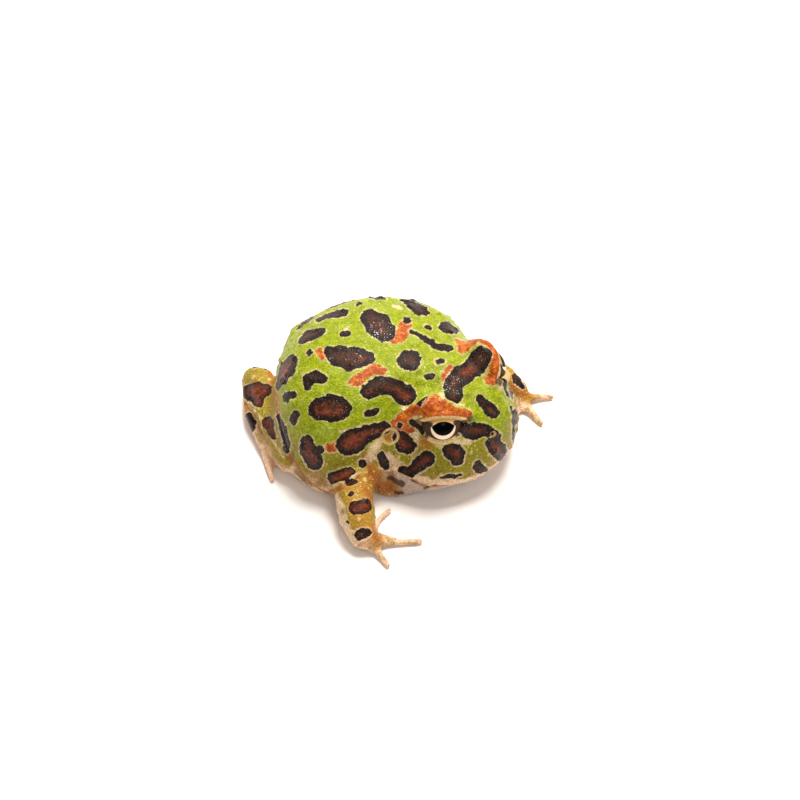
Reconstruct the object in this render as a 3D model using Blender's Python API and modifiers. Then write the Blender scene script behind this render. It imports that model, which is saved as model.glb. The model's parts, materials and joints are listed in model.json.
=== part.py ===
"""Argentine horned frog, a young one, sitting at rest at life size.

Metres, +Z up. The nose points to -Y and the frog's left side is +X. The origin is on the
floor, under the belly. Sizes are written in millimetres and scaled by MM.

The trunk and head are one smooth form: a loft over the depth behind the snout tip, with a
brow mound over each eye. It is parted at the neck, along the mouth and round each brow.
Each limb is a chain of balls, hulled two by two and fused. Arms are parted by thin slabs at
elbow and wrist, and the folded hind legs by the clearance round each neighbour. All that
rests on the floor is cut flat at height 0.
"""

import math

import bmesh
import bpy
from mathutils import Matrix, Vector

MM = 0.001
COLLECTION = "horned_frog"

# ---- driving dimensions, millimetres ----
BODY_LENGTH = 41.0  # snout to vent
NOSE_Y = -23.2  # the snout tip stands this far in front of the origin
GAP = 0.3  # between neighbouring solids

HEAD_HALF_WIDTH = 12.6
HEAD_ROUNDING = 11.0  # the jaw reaches its full width this far behind the snout tip
TRUNK_HALF_WIDTH = 18.3
TRUNK_MIDDLE = 22.5  # depth of the widest place
TRUNK_FRONT_REACH = 12.0  # the shoulders taper to nothing this far in front of it
BACK_MIDDLE = 24.0  # depth of the highest place
TRUNK_BEND = 2.5  # the waist lies this far to the right of the head's middle line

SNOUT_TIP_HEIGHT = 6.6
CROWN_HEIGHT = 16.3
CROWN_ROUNDING = 7.0  # the crown reaches its full height this far behind the snout tip
BACK_HEIGHT = 20.2
VENT_HEIGHT = 8.2
JAW_LINE_HEIGHT = 4.6
FLANK_LINE_HEIGHT = 3.0
RUMP_DEPTH = 36.0  # from here the belly lifts off the floor
CHEST_CENTRE = (-0.4, -8.5, 0.0)  # of the flattened ball that fills out throat and chest
CHEST_HALF_SIZE = (14.4, 7.7, 3.9)
FLOOR_SINK = 0.8  # the belly is modelled this far below the floor, then cut flat

EYE_RADIUS = 3.3
EYE_CENTRE = (7.14, -15.58, 14.6)
BROW_RIDGE = ((6.6, -17.0, 14.8, 2.9), (6.8, -15.3, 15.2, 3.6), (8.0, -14.2, 17.2, 1.6),
              (6.6, -12.6, 15.0, 3.0), (8.4, -9.4, 12.6, 2.8))  # over the eye, back to the ear
BROW_CUT_CENTRE = (7.0, -15.0, 18.4)  # of the ball that parts the brow from the head
BROW_CUT_RADIUS = 4.1
LID_OPENING = (2.0, 1.1, 0.62)  # half sizes along, across and up the gaze, in eye radii
GAZE = (0.69, -0.557, 0.46)  # of the left eye
LEFT_EYE_SHIFT = (-1.2, 0.7, 0.6)  # the head leans a little to the right, so the left eye
LEFT_BROW_SHIFT = (-0.6, 0.35, 0.5)  # and brow aren't quite where a mirror would put them

NECK_CUT = 18.4  # depth of the cut between head and trunk
MOUTH_FRONT_HEIGHT = 3.7
MOUTH_CORNER_HEIGHT = 7.0
MOUTH_CORNER_DEPTH = 19.0

# ---- limbs: places and ball radii (x, y, z, radius) ----
RIGHT_ARM = ((-12.5, -6.0, 5.4, 3.0), (-18.7, -7.0, 5.1, 3.15), (-22.2, -10.4, 3.9, 2.95),
             (-24.0, -12.7, 2.3, 2.2), (-23.6, -14.4, 1.3, 1.5))
RIGHT_FINGERS = (((-22.4, -13.2, 1.0, 0.85), (-18.8, -12.0, 0.75, 0.55), (-15.9, -12.2, 0.5, 0.5)),
                 ((-22.2, -13.8, 1.2, 0.8), (-21.2, -15.0, 0.8, 0.52), (-20.6, -16.2, 0.55, 0.5)),
                 ((-22.9, -14.6, 1.0, 0.85), (-21.2, -16.7, 0.7, 0.56), (-18.6, -19.8, 0.5, 0.54)),
                 ((-23.9, -14.9, 1.0, 0.8), (-24.8, -17.0, 0.7, 0.54), (-25.4, -18.5, 0.5, 0.52)))
LEFT_ARM = ((11.5, -6.0, 4.6, 2.6), (16.1, -7.9, 4.2, 2.4), (16.6, -11.8, 3.4, 2.05),
            (16.4, -14.9, 2.3, 1.75), (15.9, -16.2, 1.2, 1.35))
LEFT_FINGERS = (((15.2, -15.8, 0.9, 0.8), (12.6, -15.8, 0.7, 0.55), (10.2, -15.3, 0.5, 0.5)),
                ((14.9, -16.2, 1.0, 0.9), (13.2, -16.9, 0.75, 0.62), (11.4, -17.0, 0.5, 0.5)),
                ((15.5, -16.5, 1.0, 1.0), (14.5, -18.9, 0.8, 0.7), (13.4, -21.5, 0.55, 0.52)),
                ((16.5, -16.5, 0.95, 0.9), (18.2, -18.0, 0.75, 0.65), (19.6, -19.7, 0.5, 0.5)))
ELBOW_CUT, WRIST_CUT = 1.0, 2.75  # places of the cuts, counted in balls along the arm
SLAB_REACH = 2.7  # size of such a cut, in ball radii

HIND_AXIS = -1.3  # the hind legs mirror about this x, since the trunk is bent
THIGH = ((-8.6, 12.2, 6.2, 3.7), (-12.9, 9.1, 5.6, 3.7), (-17.5, 5.2, 4.0, 2.8))
SHANK = ((-18.2, 5.6, 3.4, 2.5), (-13.8, 12.1, 3.9, 2.6), (-8.1, 18.8, 5.0, 2.3))
FOOT = ((-7.7, 20.4, 3.8, 2.4), (-12.4, 16.7, 2.6, 2.1), (-16.6, 11.3, 1.4, 1.5))
TOES = (((-16.4, 11.2, 0.8, 0.8), (-15.9, 9.4, 0.6, 0.6), (-15.7, 8.4, 0.5, 0.5)),
        ((-16.6, 11.1, 0.8, 0.8), (-16.5, 8.9, 0.6, 0.6), (-16.4, 7.4, 0.5, 0.5)),
        ((-16.9, 11.0, 0.9, 0.9), (-17.2, 8.6, 0.6, 0.6), (-17.3, 6.8, 0.5, 0.5)),
        ((-17.2, 10.9, 0.9, 0.9), (-18.0, 8.4, 0.65, 0.62), (-18.3, 6.4, 0.5, 0.5)),
        ((-17.6, 11.0, 0.9, 0.8), (-20.0, 8.3, 0.7, 0.6), (-21.4, 6.7, 0.5, 0.52)))

# ---- how finely the solids are faceted ----
BODY_VOXEL = 0.5
LIMB_VOXEL = 0.35
DIGIT_VOXEL = 0.26
BODY_TRIANGLES = 2440
ARM_TRIANGLES = 680
THIGH_TRIANGLES = 190
SHANK_TRIANGLES = 170
FOOT_TRIANGLES = 400
RINGS = 54
RING_POINTS = 64
FAR = 60.0  # larger than the frog
WELD = 0.004  # points closer than this are one

# ---- plain materials: colour, roughness ----
FINISHES = {
    "back_skin": ((0.36, 0.50, 0.08), 0.38),
    "head_skin": ((0.42, 0.47, 0.09), 0.38),
    "throat_skin": ((0.72, 0.66, 0.58), 0.42),
    "limb_skin": ((0.62, 0.50, 0.22), 0.40),
    "digit_skin": ((0.83, 0.66, 0.48), 0.40),
    "brow_skin": ((0.66, 0.27, 0.08), 0.38),
    "eye_surface": ((0.05, 0.04, 0.03), 0.08),
}


def material(name):
    """The Principled material of that name, made once."""
    found = bpy.data.materials.get(name)
    if found:
        return found
    colour, roughness = FINISHES[name]
    made = bpy.data.materials.new(name)
    made.use_nodes = True
    shader = made.node_tree.nodes["Principled BSDF"]
    shader.inputs["Base Color"].default_value = (*colour, 1.0)
    shader.inputs["Roughness"].default_value = roughness
    return made


# ---- shaping functions ----


def smooth_max(a, b, softness):
    return (a + b + math.sqrt((a - b) ** 2 + softness**2)) / 2


def ease(value, start, end):
    """0 before start, 1 after end, smooth between."""
    t = min(1.0, max(0.0, (value - start) / (end - start)))
    return t * t * (3 - 2 * t)


def oval(distance, reach, power):
    """1 at distance 0, falling to 0 at reach along a superellipse."""
    share = min(1.0, abs(distance) / reach)
    return (1 - share**power) ** (1 / power)


def blend_span(depth):
    """1 along the body, 0 at its two tips, so that both ends close."""
    return ease(depth, 2.0, 8.0) * (1 - ease(depth, BODY_LENGTH - 5.0, BODY_LENGTH))


def half_width(depth):
    head = HEAD_HALF_WIDTH * oval(max(0.0, HEAD_ROUNDING - depth), HEAD_ROUNDING, 1.9)
    head *= 1 - ease(depth, 17.0, 34.0)
    if depth < TRUNK_MIDDLE:
        trunk = oval(TRUNK_MIDDLE - depth, TRUNK_FRONT_REACH, 2.1)
    else:
        trunk = oval(depth - TRUNK_MIDDLE, BODY_LENGTH - TRUNK_MIDDLE, 1.8)
    return smooth_max(head, TRUNK_HALF_WIDTH * trunk, 1.6 * blend_span(depth))


def top_height(depth):
    crown = CROWN_HEIGHT - SNOUT_TIP_HEIGHT
    head = SNOUT_TIP_HEIGHT + crown * oval(max(0.0, CROWN_ROUNDING - depth), CROWN_ROUNDING, 2.3)
    head -= 0.12 * max(0.0, depth - 10.0)
    reach, power = (BACK_MIDDLE, 2.5) if depth < BACK_MIDDLE else (BODY_LENGTH - BACK_MIDDLE, 1.85)
    trunk = VENT_HEIGHT + (BACK_HEIGHT - VENT_HEIGHT) * oval(depth - BACK_MIDDLE, reach, power)
    return smooth_max(head, trunk, 1.2 * blend_span(depth)) - 0.3 * blend_span(depth)


def bottom_height(depth):
    chin = SNOUT_TIP_HEIGHT * (1 - oval(max(0.0, HEAD_ROUNDING - depth), HEAD_ROUNDING, 1.9))
    rump = VENT_HEIGHT * (1 - oval(max(0.0, depth - RUMP_DEPTH), BODY_LENGTH - RUMP_DEPTH, 2.3))
    low = max(chin, rump)
    return low - FLOOR_SINK * (1 - ease(low, 0.0, 4.0))


def widest_height(depth):
    height = JAW_LINE_HEIGHT + (FLANK_LINE_HEIGHT - JAW_LINE_HEIGHT) * ease(depth, 12.0, 24.0)
    top, bottom = top_height(depth), bottom_height(depth)
    return min(max(height, bottom + 0.22 * (top - bottom)), bottom + 0.6 * (top - bottom))


def section(depth):
    """The closed ring of points across the body at this depth: a superellipse whose upper
    power is low on the head, for sloping cheeks, and higher on the trunk."""
    width, top, bottom = half_width(depth), top_height(depth), bottom_height(depth)
    middle = widest_height(depth)
    upper_power = 1.75 + 1.15 * ease(depth, 11.0, 24.0)
    lower_power = 1.7 + 0.6 * ease(depth, 3.0, 8.0) + 1.2 * ease(depth, 10.0, 22.0)
    centre_x = -TRUNK_BEND * ease(depth, 9.0, 24.0) * (1 - 0.75 * ease(depth, 29.0, BODY_LENGTH))
    ring = []
    for i in range(RING_POINTS):
        angle = 2 * math.pi * i / RING_POINTS
        across, up = math.cos(angle), math.sin(angle)
        power, rise = (upper_power, top - middle) if up >= 0 else (lower_power, middle - bottom)
        x = centre_x + width * math.copysign(abs(across) ** (2 / power), across)
        z = middle + rise * math.copysign(abs(up) ** (2 / power), up)
        ring.append(Vector((x, NOSE_Y + depth, z)) * MM)
    return ring


# ---- mesh helpers ----


def put(name, form):
    """An object made of the bmesh, in the scene's own collection."""
    mesh = bpy.data.meshes.new(name)
    form.to_mesh(mesh)
    form.free()
    piece = bpy.data.objects.new(name, mesh)
    bpy.context.scene.collection.objects.link(piece)
    return piece


def settle(piece):
    """Replace the piece's mesh with what its modifiers make of it."""
    graph = bpy.context.evaluated_depsgraph_get()
    mesh = bpy.data.meshes.new_from_object(piece.evaluated_get(graph))
    piece.modifiers.clear()
    piece.data = mesh
    return piece


def copy_of(piece, name):
    twin = bpy.data.objects.new(name, piece.data.copy())
    bpy.context.scene.collection.objects.link(twin)
    return twin


def remove(*pieces):
    for piece in pieces:
        bpy.data.objects.remove(piece)


def fuse(piece, voxel, smoothing, triangles):
    """Join the piece's overlapping shells into one smooth skin of about this many triangles."""
    remesh = piece.modifiers.new("fuse", "REMESH")
    remesh.mode = "VOXEL"
    remesh.voxel_size = voxel * MM
    smooth = piece.modifiers.new("smooth", "SMOOTH")
    smooth.factor = 0.5
    smooth.iterations = smoothing
    settle(piece)
    count = sum(len(p.vertices) - 2 for p in piece.data.polygons)
    thin = piece.modifiers.new("thin", "DECIMATE")
    thin.ratio = min(1.0, triangles / count)
    return settle(piece)


def combine(piece, other, operation):
    boolean = piece.modifiers.new("boolean", "BOOLEAN")
    boolean.operation = operation
    boolean.solver = "EXACT"
    boolean.object = other
    return settle(piece)


def loose_shells(form):
    """The faces of the bmesh, grouped into closed shells."""
    waiting, shells = set(form.faces), []
    while waiting:
        shell, front = set(), [waiting.pop()]
        while front:
            face = front.pop()
            shell.add(face)
            reached = {n for edge in face.edges for n in edge.link_faces if n in waiting}
            waiting -= reached
            front.extend(reached)
        shells.append(shell)
    return shells


def volume(shell):
    total = 0.0
    for face in shell:
        first = face.verts[0].co
        for a, b in zip(face.verts[1:], face.verts[2:]):
            total += first.dot(a.co.cross(b.co)) / 6
    return total


def keep_shell(piece, choose):
    """Drop every loose shell but the one that choose, a key function, puts first."""
    form = bmesh.new()
    form.from_mesh(piece.data)
    bmesh.ops.remove_doubles(form, verts=form.verts, dist=WELD * MM)
    shells = loose_shells(form)
    kept = max(shells, key=choose)
    bmesh.ops.delete(form, geom=[f for s in shells if s is not kept for f in s], context="FACES")
    bmesh.ops.delete(form, geom=[v for v in form.verts if not v.link_faces], context="VERTS")
    form.to_mesh(piece.data)
    form.free()
    return piece


def keep_largest(piece):
    return keep_shell(piece, volume)


def swollen(piece, distance):
    """A copy of the piece, grown along its normals: the clearance that a neighbour keeps."""
    twin = copy_of(piece, "clearance")
    grow = twin.modifiers.new("grow", "DISPLACE")
    grow.strength = distance * MM
    grow.mid_level = 0.0
    return settle(twin)


def keep_clear(piece, *neighbours):
    """Cut the neighbours, each grown by the gap, out of the piece."""
    for neighbour in neighbours:
        cutter = swollen(neighbour, GAP)
        combine(piece, cutter, "DIFFERENCE")
        remove(cutter)
    return keep_largest(piece)


def block(centre, size, axes=None):
    """A box cutter; its three axes may be turned."""
    form = bmesh.new()
    bmesh.ops.create_cube(form, size=1.0)
    turn = axes.to_4x4() if axes else Matrix.Identity(4)
    place = Matrix.Translation(Vector(centre) * MM) @ turn @ Matrix.Diagonal((*(Vector(size) * MM), 1))
    form.transform(place)
    return put("block", form)


def ball_cutter(centre, radius, segments=16):
    form = bmesh.new()
    bmesh.ops.create_uvsphere(form, u_segments=segments, v_segments=segments // 2, radius=radius * MM)
    form.transform(Matrix.Translation(Vector(centre) * MM))
    return put("ball", form)


def flatten_on_floor(piece):
    under = block((0, 0, -FAR / 2), (2 * FAR, 2 * FAR, FAR))
    combine(piece, under, "DIFFERENCE")
    remove(under)
    return keep_largest(piece)


def add_chain(form, balls):
    """Add to the bmesh the hull of each ball with the next."""
    for first, second in zip(balls, balls[1:]):
        link = bmesh.new()
        for x, y, z, radius in (first, second):
            place = Matrix.Translation(Vector((x, y, z)) * MM)
            bmesh.ops.create_icosphere(link, subdivisions=2, radius=radius * MM, matrix=place)
        hull = bmesh.ops.convex_hull(link, input=link.verts)
        buried = hull["geom_interior"] + hull["geom_unused"]
        inside = [g for g in buried if isinstance(g, bmesh.types.BMVert)]
        bmesh.ops.delete(link, geom=inside, context="VERTS")
        bmesh.ops.recalc_face_normals(link, faces=link.faces)
        mesh = bpy.data.meshes.new("link")
        link.to_mesh(mesh)
        link.free()
        form.from_mesh(mesh)
        bpy.data.meshes.remove(mesh)


def chains(name, *lists):
    form = bmesh.new()
    for balls in lists:
        add_chain(form, balls)
    return put(name, form)


def mirrored(balls, axis=0.0):
    return tuple((2 * axis - x, y, z, radius) for x, y, z, radius in balls)


# ---- trunk and head ----


def head_place(side, place, left_shift):
    """A place on the left of the head, side 1, or its counterpart on the right, side -1."""
    x, y, z = place
    return Vector((-x, y, z)) if side < 0 else Vector(place) + Vector(left_shift)


def body_form():
    """The whole trunk and head, sunk a little below the floor."""
    form = bmesh.new()
    rings = []
    for i in range(1, RINGS):
        depth = BODY_LENGTH * (1 - math.cos(math.pi * i / RINGS)) / 2
        rings.append([form.verts.new(p) for p in section(depth)])
    for first, second in zip(rings, rings[1:]):
        for i in range(RING_POINTS):
            j = (i + 1) % RING_POINTS
            form.faces.new((first[i], first[j], second[j], second[i]))
    form.faces.new(rings[0])
    form.faces.new(rings[-1])
    chest = Matrix.Translation(Vector(CHEST_CENTRE) * MM) @ Matrix.Diagonal((*CHEST_HALF_SIZE, 1))
    bmesh.ops.create_uvsphere(form, u_segments=48, v_segments=24, radius=MM, matrix=chest)
    for side in (1, -1):
        places = [head_place(side, ball[:3], LEFT_BROW_SHIFT) for ball in BROW_RIDGE]
        add_chain(form, [(*place, ball[3]) for place, ball in zip(places, BROW_RIDGE)])
    bmesh.ops.recalc_face_normals(form, faces=form.faces)
    return fuse(put("body_form", form), BODY_VOXEL, 6, BODY_TRIANGLES)


def eye(name, side):
    """The eyeball, a sphere that the head and the brow leave room for."""
    form = bmesh.new()
    bmesh.ops.create_icosphere(form, subdivisions=3, radius=EYE_RADIUS * MM)
    form.transform(Matrix.Translation(head_place(side, EYE_CENTRE, LEFT_EYE_SHIFT) * MM))
    return put(name, form)


def eye_window(side):
    """What the lids leave open: an almond along the gaze, in front of the eye's centre."""
    gaze = Vector((side * GAZE[0], GAZE[1], GAZE[2])).normalized()
    across = Vector((0, 0, 1)).cross(gaze).normalized()
    axes = Matrix((gaze, across, gaze.cross(across))).transposed().to_4x4()
    middle = head_place(side, EYE_CENTRE, LEFT_EYE_SHIFT) + gaze * EYE_RADIUS * LID_OPENING[0] / 2
    form = bmesh.new()
    bmesh.ops.create_uvsphere(form, u_segments=16, v_segments=8, radius=EYE_RADIUS * MM)
    form.transform(Matrix.Translation(middle * MM) @ axes @ Matrix.Diagonal((*LID_OPENING, 1)))
    return put("window", form)


# ---- assembly ----


def name_part(piece, name, finish):
    """Give a finished solid its name, material and smooth shading."""
    piece.name = piece.data.name = name
    piece.data.materials.clear()
    piece.data.materials.append(material(finish))
    piece.data.shade_smooth()
    for collection in piece.users_collection:
        collection.objects.unlink(piece)
    bpy.data.collections[COLLECTION].objects.link(piece)
    return piece


def beyond(depth, sign):
    """The half space behind this depth, or in front of it where sign is -1."""
    return block((0, NOSE_Y + depth + sign * FAR / 2, 0), (2 * FAR, FAR, 2 * FAR))


def below_mouth(lift):
    """The half space below the mouth line, which falls from the lip's front to its corner."""
    fall = math.atan2(MOUTH_FRONT_HEIGHT - MOUTH_CORNER_HEIGHT, MOUTH_CORNER_DEPTH)
    axes = Matrix.Rotation(-fall, 3, "X")
    front = Vector((0, NOSE_Y, MOUTH_FRONT_HEIGHT + lift))
    return block(front - axes @ Vector((0, 0, FAR / 2)), (2 * FAR, 2 * FAR, FAR), axes)


def cut_with(piece, cutter, operation="DIFFERENCE"):
    combine(piece, cutter, operation)
    remove(cutter)
    return piece


def make_head_and_trunk(body):
    """Part the form at the neck, along the mouth and round the brows."""
    trunk = cut_with(copy_of(body, "trunk"), beyond(NECK_CUT, 1), "INTERSECT")
    name_part(keep_largest(trunk), "trunk", "back_skin")
    head = cut_with(copy_of(body, "head"), beyond(NECK_CUT - GAP, -1), "INTERSECT")
    jaw = cut_with(copy_of(head, "jaw"), below_mouth(-GAP / 2), "INTERSECT")
    name_part(keep_largest(jaw), "lower_jaw", "throat_skin")
    cut_with(head, below_mouth(GAP / 2))
    for side, label in ((1, "left"), (-1, "right")):
        eyeball = eye(f"{label}_eye", side)
        cut_with(head, swollen(eyeball, GAP))
        cut_with(head, eye_window(side))
        name_part(eyeball, f"{label}_eye", "eye_surface")
        centre = head_place(side, BROW_CUT_CENTRE, LEFT_BROW_SHIFT)
        brow = cut_with(copy_of(head, "brow"), ball_cutter(centre, BROW_CUT_RADIUS), "INTERSECT")
        name_part(keep_largest(brow), f"{label}_brow", "brow_skin")
        cut_with(head, ball_cutter(centre, BROW_CUT_RADIUS + GAP))
    name_part(keep_largest(head), "head", "head_skin")


def slab(balls, place):
    """A thin cut across a limb at a place along its chain, square to the limb there."""
    index = int(place)
    here, ahead = Vector(balls[index]), Vector(balls[index + 1])
    x, y, z, radius = here.lerp(ahead, place - index)
    along = (ahead - here).xyz.normalized()
    side = along.cross(Vector((0, 0, 1))).normalized()
    axes = Matrix((along, side, along.cross(side))).transposed()
    return block((x, y, z), (GAP, SLAB_REACH * radius, SLAB_REACH * radius), axes)


def make_arm(label, arm, fingers, body_clearance):
    whole = fuse(chains("arm", arm, *fingers), DIGIT_VOXEL, 3, ARM_TRIANGLES)
    flatten_on_floor(whole)
    combine(whole, body_clearance, "DIFFERENCE")
    keep_largest(whole)
    cut_with(whole, slab(arm, ELBOW_CUT))
    cut_with(whole, slab(arm, WRIST_CUT))
    places = {"upper_arm": arm[0], "forearm": arm[int(WRIST_CUT)], "hand": fingers[1][1]}
    for segment, place in places.items():
        target = Vector(place[:3]) * MM

        def nearness(shell):
            return -min((face.calc_center_median() - target).length for face in shell)

        piece = keep_shell(copy_of(whole, segment), nearness)
        name_part(piece, f"{label}_{segment}", "digit_skin" if segment == "hand" else "limb_skin")
    remove(whole)


def make_thigh(label, place_balls):
    thigh = fuse(chains("thigh", place_balls(THIGH)), LIMB_VOXEL, 3, THIGH_TRIANGLES)
    return name_part(flatten_on_floor(thigh), f"{label}_thigh", "limb_skin")


def make_lower_leg(label, place_balls, body_clearance, thigh):
    """Shank and foot, folded beside the thigh, each clear of the ones before it."""
    segments = (("shank", LIMB_VOXEL, SHANK_TRIANGLES, (SHANK,), "limb_skin"),
                ("foot", DIGIT_VOXEL, FOOT_TRIANGLES, (FOOT, *TOES), "digit_skin"))
    earlier = [thigh]
    for segment, voxel, triangles, lists, finish in segments:
        piece = fuse(chains(segment, *(place_balls(balls) for balls in lists)), voxel, 3, triangles)
        flatten_on_floor(piece)
        combine(piece, body_clearance, "DIFFERENCE")
        keep_clear(piece, *earlier)
        earlier.append(name_part(piece, f"{label}_{segment}", finish))


def main():
    for old in list(bpy.data.objects):
        bpy.data.objects.remove(old)
    collection = bpy.data.collections.new(COLLECTION)
    bpy.context.scene.collection.children.link(collection)
    body = flatten_on_floor(body_form())
    body_clearance = swollen(body, GAP)
    sides = {"right": lambda balls: balls, "left": lambda balls: mirrored(balls, HIND_AXIS)}
    thighs = {label: make_thigh(label, place_balls) for label, place_balls in sides.items()}
    keep_clear(body, *thighs.values())
    make_head_and_trunk(body)
    make_arm("right", RIGHT_ARM, RIGHT_FINGERS, body_clearance)
    make_arm("left", LEFT_ARM, LEFT_FINGERS, body_clearance)
    for label, place_balls in sides.items():
        make_lower_leg(label, place_balls, body_clearance, thighs[label])
    remove(body, body_clearance)


main()
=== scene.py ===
"""The looks of a young Argentine horned frog: one skin over the whole body, and two eyes.

The skin is made from the frame's solids, joined and remeshed into one surface. Lids, mouth,
nostrils, eardrums, folds and warts are then modelled in it, and its markings are stored on its
points as distances, which the skin's material turns into blotches with rims. Sizes are in
millimetres unless a name says otherwise.
"""

import json
import math

import bpy
import numpy as np
from bpy.props import FloatProperty, FloatVectorProperty, IntProperty, PointerProperty
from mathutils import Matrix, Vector
from mathutils.bvhtree import BVHTree

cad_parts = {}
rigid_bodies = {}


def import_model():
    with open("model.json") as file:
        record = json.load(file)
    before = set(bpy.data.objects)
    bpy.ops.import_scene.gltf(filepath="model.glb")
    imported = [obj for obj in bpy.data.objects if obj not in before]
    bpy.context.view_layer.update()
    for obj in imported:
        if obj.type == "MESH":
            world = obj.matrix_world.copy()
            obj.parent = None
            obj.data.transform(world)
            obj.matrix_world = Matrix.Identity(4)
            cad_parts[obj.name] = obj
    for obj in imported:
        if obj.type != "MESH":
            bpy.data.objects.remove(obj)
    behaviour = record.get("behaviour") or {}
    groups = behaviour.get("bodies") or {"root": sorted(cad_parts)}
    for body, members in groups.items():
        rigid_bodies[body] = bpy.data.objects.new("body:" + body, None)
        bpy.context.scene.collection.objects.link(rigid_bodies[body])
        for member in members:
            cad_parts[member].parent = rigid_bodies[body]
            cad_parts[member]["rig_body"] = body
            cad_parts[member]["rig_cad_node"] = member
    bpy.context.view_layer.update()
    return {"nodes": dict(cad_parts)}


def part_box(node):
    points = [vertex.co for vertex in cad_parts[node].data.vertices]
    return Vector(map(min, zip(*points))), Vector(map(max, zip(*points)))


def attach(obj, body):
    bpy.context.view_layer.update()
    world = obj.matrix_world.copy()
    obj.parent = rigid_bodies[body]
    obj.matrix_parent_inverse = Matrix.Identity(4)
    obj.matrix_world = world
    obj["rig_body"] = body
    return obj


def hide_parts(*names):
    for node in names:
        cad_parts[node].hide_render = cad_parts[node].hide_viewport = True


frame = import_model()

bl_info = {
    "name": "Horned frog",
    "version": (1, 0, 0),
    "blender": (4, 5, 0),
    "location": "3D View > Sidebar > Horned frog",
    "description": "Skin, eyes and stage of a life-size horned frog",
    "category": "Object",
}

MM = 0.001
BODY = "root"

# ---- the view: a camera that looks at AIM from this direction and distance ----
AIM = (-1.4, -3.9, 8.0)
VIEW_AZIMUTH = math.radians(-55)
VIEW_ELEVATION = math.radians(45)
VIEW_DISTANCE = 330.0
PIXELS_PER_MM = 6.3  # at AIM
PICTURE = 800  # width and height, in pixels
SENSOR_WIDTH = 36.0

# ---- places on the head ----
GAZE = (0.69, -0.557, 0.46)  # of the left eye
# Almonds on the eyeball: centre towards nose and brow, half length, rise of the upper edge and
# drop of the lower one.
OPENING = (0.0, 0.3, 4.1, 1.22, 2.42)
PUPIL = (0.09, 0.25, 1.72, 0.86, 1.36)
CRESCENT = (0.09, 0.25, 1.86, 0.92, 2.12)
LIDS_AHEAD = 1.2  # from the eyeball's centre to the middle of the lids, along the gaze
LIDS_BEYOND = 2.6  # how far the lids reach from the eyeball
LID_CLEARANCE = 0.08  # between the eyeball and the lids' inner edge
SOCKET_DEPTH = 0.5  # how far the skin lies under the eyeball's surface
LEFT_BROW_SHIFT = (-0.6, 0.35, 0.5)  # how far the left brow is from the right one's mirror image
MOUTH_FRONT = (-23.2, 3.7)  # y and height of the mouth line at the snout
MOUTH_CORNER = (-8.5, 6.25)
NOSTRIL = (2.45, 11.9)  # x and height
EARDRUM_PIXEL = (390.0, 436.0)
EARDRUM_RADIUS = 1.25
EARDRUM_DEPTH = 0.10
BROW_PLACES = (13.0, -8.0)  # what is higher than this and ahead of this y is on a brow

# ---- raised and sunken bands: height, half width, and distance from their line or middle ----
MOUTH_GROOVE_HALF_WIDTH = 0.17
UPPER_LIP = (0.17, 0.38, 0.55)
JAW_TUCK = 0.30
NOSTRIL_RIM = (0.16, 0.25, 0.55)
NOSTRIL_HOLE = (0.5, 0.26)
EARDRUM_RIM = (0.12, 0.28)
WART_HALF_WIDTHS = (0.22, 0.62)  # of the smallest and the largest
WART_SPACINGS = (0.75, 1.25)

# ---- where the skin's points lie closer, and where they are rounded off less ----
LIP_BAND = 1.1
EYE_REACHES = (4.4, 3.9)
EYE_ROUNDING = (5.0, 0.25)  # within this reach, this share
DETAIL_PASSES = 4

# ---- lamps: name, place, diameter and tint ----
OVERHEAD = ("overhead", (120, 5, 410), 220, (1.0, 0.97, 0.93))
SIDE = ("side", (-300, -330, 330), 200, (1.0, 0.98, 0.95))
WINDOW = ("window", (225, 185, 275), 80, (1.0, 0.98, 0.96))
SKY_TINT = (1.0, 0.985, 0.96, 1.0)
FLOOR_TONES = ((0.93, 0.88, 0.855), (0.96, 0.92, 0.90))

# ---- distances that stand for far away ----
OUTSIDE = 60.0  # a coordinate beyond the frog on every side
MARK_REACH = 4.0  # markings are told from their edges up to this distance

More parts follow.
